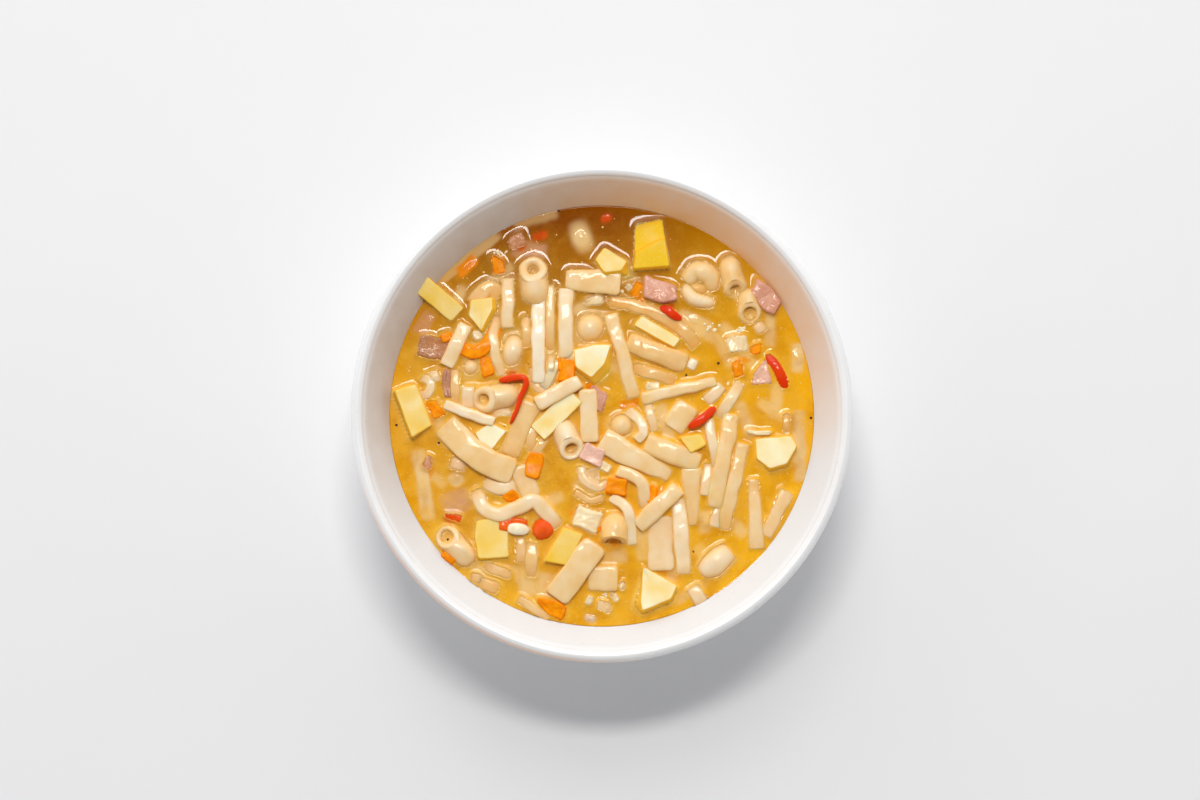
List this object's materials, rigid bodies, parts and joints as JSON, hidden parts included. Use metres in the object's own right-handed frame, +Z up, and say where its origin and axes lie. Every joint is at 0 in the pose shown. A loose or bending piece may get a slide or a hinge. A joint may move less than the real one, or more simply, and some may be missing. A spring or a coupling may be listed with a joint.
{
  "type": "bowl of pasta and potato soup",
  "caption": "Round stoneware soup bowl filled with golden broth, mixed short pasta, potato, ham, carrot, tomato and onion pieces.",
  "frame": {"origin": "on the table under the middle of the foot ring", "axes": "+Z up out of the bowl; -Y towards the eater, which is the lower side of the picture"},
  "size_m": [0.1648, 0.1648, 0.052],
  "materials": {
    "stoneware": "clear-glazed off-white stoneware, thin at the lip",
    "broth": "cloudy golden broth, wet and glossy",
    "pasta": "boiled wheat pasta, moist",
    "potato": "boiled potato, soft and moist",
    "ham": "diced cooked ham, moist",
    "carrot": "boiled carrot, wet",
    "tomato": "cooked tomato skin and pulp, wet",
    "onion": "cooked onion, translucent"
  },
  "bodies": {
    "root": {"bowl": "stoneware", "broth": "broth", "pasta": "pasta", "potato_01": "potato", "potato_02": "potato", "potato_03": "potato", "potato_04": "potato", "potato_05": "potato", "potato_06": "potato", "potato_07": "potato", "potato_08": "potato", "potato_09": "potato", "potato_10": "potato", "potato_11": "potato", "potato_12": "potato", "potato_13": "potato", "potato_14": "potato", "ham_01": "ham", "ham_02": "ham", "ham_03": "ham", "ham_04": "ham", "ham_05": "ham", "ham_06": "ham", "ham_07": "ham", "ham_08": "ham", "carrot_01": "carrot", "carrot_02": "carrot", "carrot_03": "carrot", "carrot_04": "carrot", "carrot_05": "carrot", "carrot_06": "carrot", "carrot_07": "carrot", "carrot_08": "carrot", "carrot_09": "carrot", "carrot_10": "carrot", "carrot_11": "carrot", "carrot_12": "carrot", "tomato_01": "tomato", "tomato_02": "tomato", "tomato_03": "tomato", "tomato_04": "tomato", "tomato_05": "tomato", "tomato_06": "tomato", "onion_01": "onion"}
  },
  "joints": []
}
